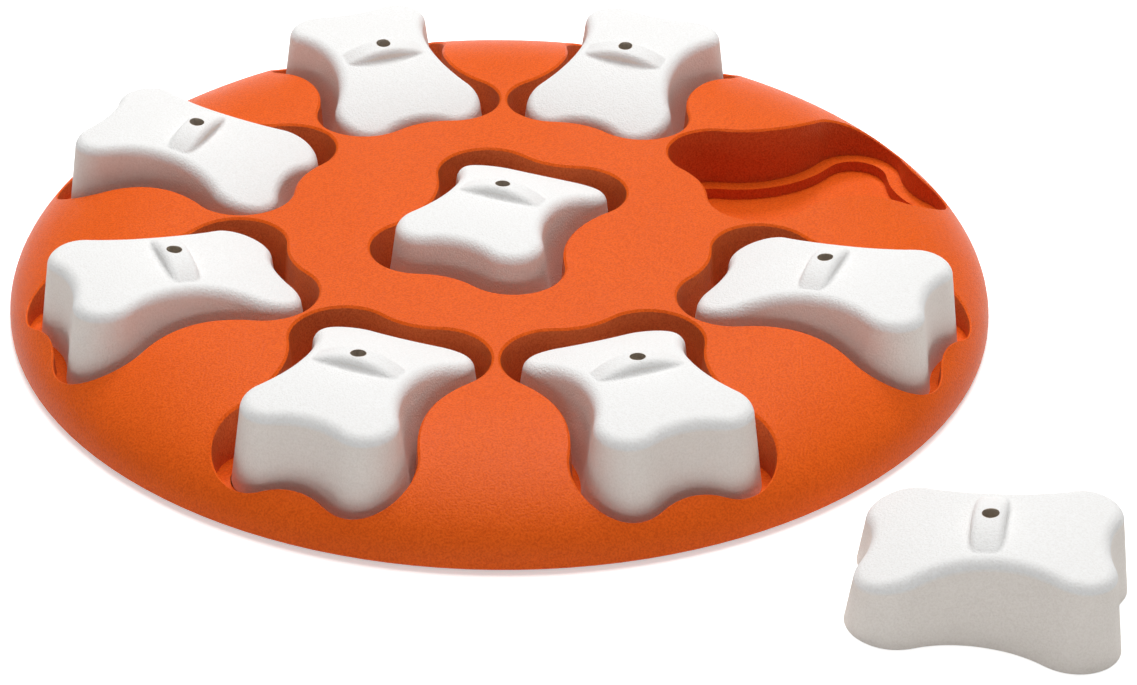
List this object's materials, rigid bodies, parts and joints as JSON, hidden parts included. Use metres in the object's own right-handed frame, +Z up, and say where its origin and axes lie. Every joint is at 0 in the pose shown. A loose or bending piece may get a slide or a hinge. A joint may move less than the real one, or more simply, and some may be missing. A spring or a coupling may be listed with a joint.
{
  "type": "dog puzzle feeder",
  "caption": "Shallow domed treat board with a ring of bone-shaped wells round a middle well, each closed by a hollow lift-off bone cover with a finger ridge and a scent hole.",
  "frame": {"origin": "middle of the board, on the plane that its feet and the loose cover stand on", "axes": "+Z up; +X to the right and -Y towards the viewer, with the loose cover at +X, -Y"},
  "size_m": [0.3015, 0.3201, 0.0344],
  "materials": {
    "board": "fine-grained matt moulded composite, orange",
    "cover": "fine-grained matt injection-moulded plastic, off-white",
    "foot": "matt rubber pad, dark grey (a guess)"
  },
  "bodies": {
    "board": {"base_board": "board", "foot_1": "foot", "foot_2": "foot", "foot_3": "foot", "foot_4": "foot", "foot_5": "foot", "foot_6": "foot", "foot_7": "foot", "foot_8": "foot", "foot_middle": "foot"},
    "bone_cover_1": {"bone_cover_1": "cover"},
    "bone_cover_2": {"bone_cover_2": "cover"},
    "bone_cover_3": {"bone_cover_3": "cover"},
    "bone_cover_4": {"bone_cover_4": "cover"},
    "bone_cover_5": {"bone_cover_5": "cover"},
    "bone_cover_6": {"bone_cover_6": "cover"},
    "bone_cover_7": {"bone_cover_7": "cover"},
    "bone_cover_8": {"bone_cover_8": "cover"},
    "bone_cover_middle": {"bone_cover_middle": "cover"}
  },
  "joints": [
    {"name": "lift_1", "type": "slide", "parent": "board", "child": "bone_cover_1", "axis": [0, 0, 1], "range_m": [0, 0.045]},
    {"name": "lift_2", "type": "slide", "parent": "board", "child": "bone_cover_2", "axis": [0, 0, 1], "range_m": [0, 0.045]},
    {"name": "lift_3", "type": "slide", "parent": "board", "child": "bone_cover_3", "axis": [0, 0, 1], "range_m": [0, 0.045]},
    {"name": "lift_4", "type": "slide", "parent": "board", "child": "bone_cover_4", "axis": [0, 0, 1], "range_m": [0, 0.045]},
    {"name": "lift_5", "type": "slide", "parent": "board", "child": "bone_cover_5", "axis": [0, 0, 1], "range_m": [0, 0.045]},
    {"name": "lift_6", "type": "slide", "parent": "board", "child": "bone_cover_6", "axis": [0, 0, 1], "range_m": [0, 0.045]},
    {"name": "lift_7", "type": "slide", "parent": "board", "child": "bone_cover_7", "axis": [0, 0, 1], "range_m": [0, 0.045]},
    {"name": "lift_8", "type": "slide", "parent": "board", "child": "bone_cover_8", "axis": [0, 0, 1], "range_m": [0, 0.045]},
    {"name": "lift_middle", "type": "slide", "parent": "board", "child": "bone_cover_middle", "axis": [0, 0, 1], "range_m": [0, 0.045]}
  ]
}
